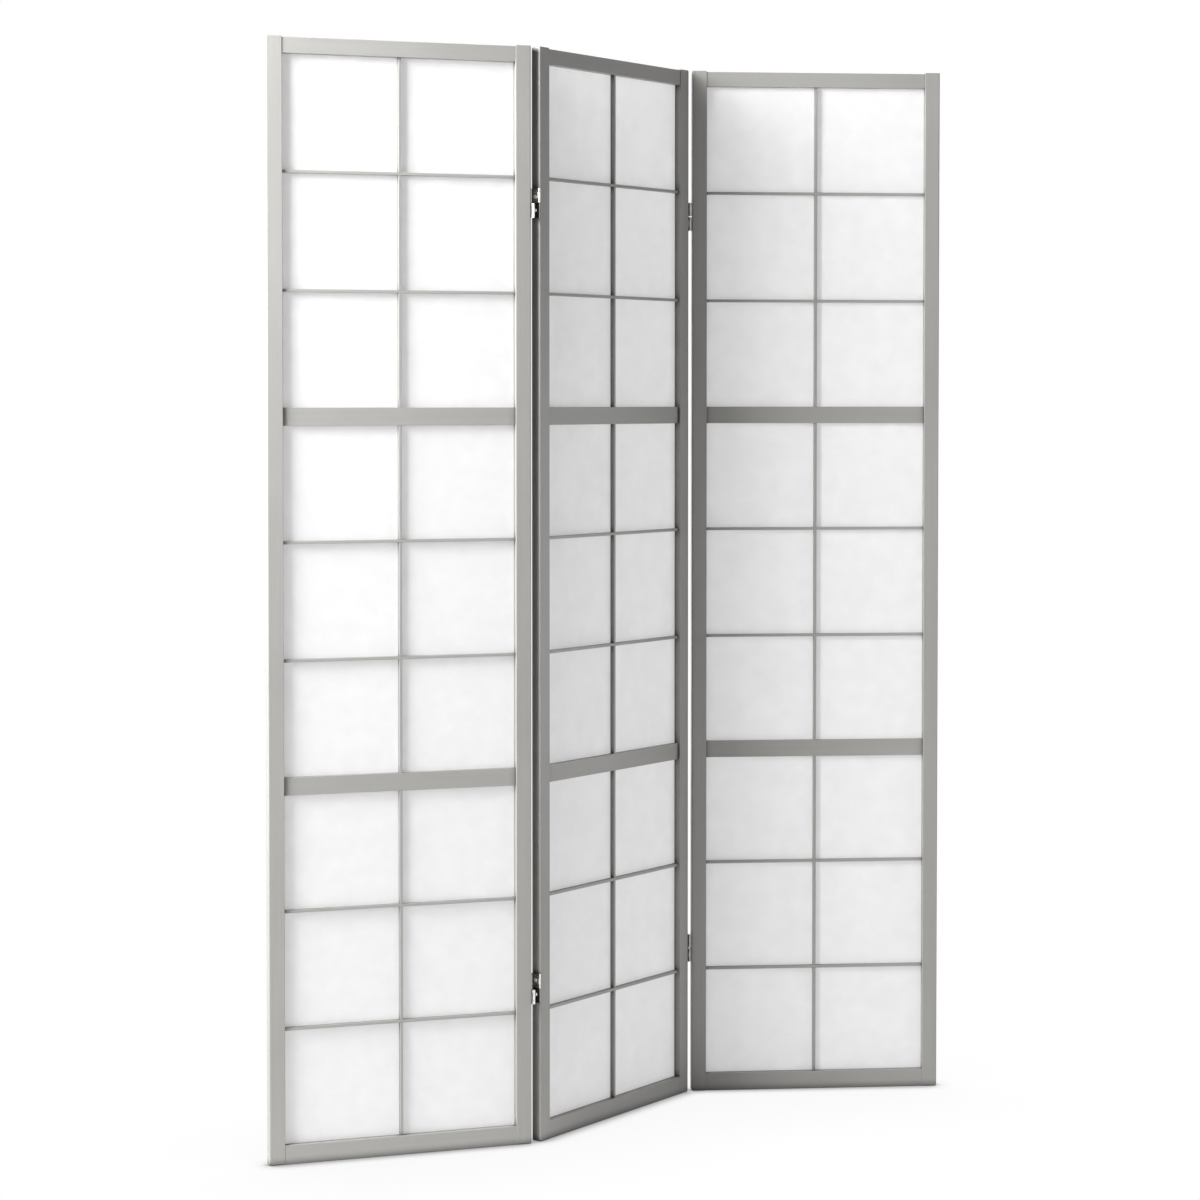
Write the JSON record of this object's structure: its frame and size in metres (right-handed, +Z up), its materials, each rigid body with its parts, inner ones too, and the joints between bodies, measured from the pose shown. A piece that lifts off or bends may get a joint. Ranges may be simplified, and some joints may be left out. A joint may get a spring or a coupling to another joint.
{
  "type": "folding screen",
  "caption": "Folding room screen: hinged upright panels of slim wooden lattice backed with translucent paper, joined by double-acting hinges.",
  "frame": {"origin": "on the floor, at the centre of the footprint of the bounding box with the screen standing as pictured", "axes": "+Z up along the stiles; the panels' front faces, with the lattice, look toward -Y; +X runs to the right as seen from the front"},
  "size_m": [1.1282, 0.5724, 1.79],
  "materials": {
    "lacquered_wood": "satin warm grey lacquer",
    "paper": "matt translucent white fibre paper",
    "nickel": "bright nickel plate"
  },
  "bodies": {
    "middle_panel": {"left_joint_right_leaves": "nickel", "left_joint_right_pins": "nickel", "left_joint_right_screws": "nickel", "left_joint_upper_links": "nickel", "middle_panel_bottom_rail": "lacquered_wood", "middle_panel_cross_muntin_1": "lacquered_wood", "middle_panel_cross_muntin_2": "lacquered_wood", "middle_panel_cross_muntin_3": "lacquered_wood", "middle_panel_cross_muntin_4": "lacquered_wood", "middle_panel_cross_muntin_5": "lacquered_wood", "middle_panel_cross_muntin_6": "lacquered_wood", "middle_panel_left_stile": "lacquered_wood", "middle_panel_lower_mid_rail": "lacquered_wood", "middle_panel_paper": "paper", "middle_panel_right_stile": "lacquered_wood", "middle_panel_top_rail": "lacquered_wood", "middle_panel_upper_mid_rail": "lacquered_wood", "middle_panel_upright_muntins": "lacquered_wood", "right_joint_left_leaves": "nickel", "right_joint_left_pins": "nickel", "right_joint_left_screws": "nickel", "right_joint_upper_links": "nickel"},
    "left_panel": {"left_joint_left_leaves": "nickel", "left_joint_left_pins": "nickel", "left_joint_left_screws": "nickel", "left_joint_lower_links": "nickel", "left_panel_bottom_rail": "lacquered_wood", "left_panel_cross_muntin_1": "lacquered_wood", "left_panel_cross_muntin_2": "lacquered_wood", "left_panel_cross_muntin_3": "lacquered_wood", "left_panel_cross_muntin_4": "lacquered_wood", "left_panel_cross_muntin_5": "lacquered_wood", "left_panel_cross_muntin_6": "lacquered_wood", "left_panel_left_stile": "lacquered_wood", "left_panel_lower_mid_rail": "lacquered_wood", "left_panel_paper": "paper", "left_panel_right_stile": "lacquered_wood", "left_panel_top_rail": "lacquered_wood", "left_panel_upper_mid_rail": "lacquered_wood", "left_panel_upright_muntins": "lacquered_wood"},
    "right_panel": {"right_joint_lower_links": "nickel", "right_joint_right_leaves": "nickel", "right_joint_right_pins": "nickel", "right_joint_right_screws": "nickel", "right_panel_bottom_rail": "lacquered_wood", "right_panel_cross_muntin_1": "lacquered_wood", "right_panel_cross_muntin_2": "lacquered_wood", "right_panel_cross_muntin_3": "lacquered_wood", "right_panel_cross_muntin_4": "lacquered_wood", "right_panel_cross_muntin_5": "lacquered_wood", "right_panel_cross_muntin_6": "lacquered_wood", "right_panel_left_stile": "lacquered_wood", "right_panel_lower_mid_rail": "lacquered_wood", "right_panel_paper": "paper", "right_panel_right_stile": "lacquered_wood", "right_panel_top_rail": "lacquered_wood", "right_panel_upper_mid_rail": "lacquered_wood", "right_panel_upright_muntins": "lacquered_wood"}
  },
  "joints": [
    {"name": "left_fold", "type": "hinge", "parent": "middle_panel", "child": "left_panel", "pos_m": [-0.14787, -0.12425, 0.895], "axis": [0, 0, -1], "range_deg": [-35.5, 144.5]},
    {"name": "right_fold", "type": "hinge", "parent": "middle_panel", "child": "right_panel", "pos_m": [0.12462, 0.22807, 0.895], "axis": [0, 0, -1], "range_deg": [-49.5, 130.5]}
  ]
}
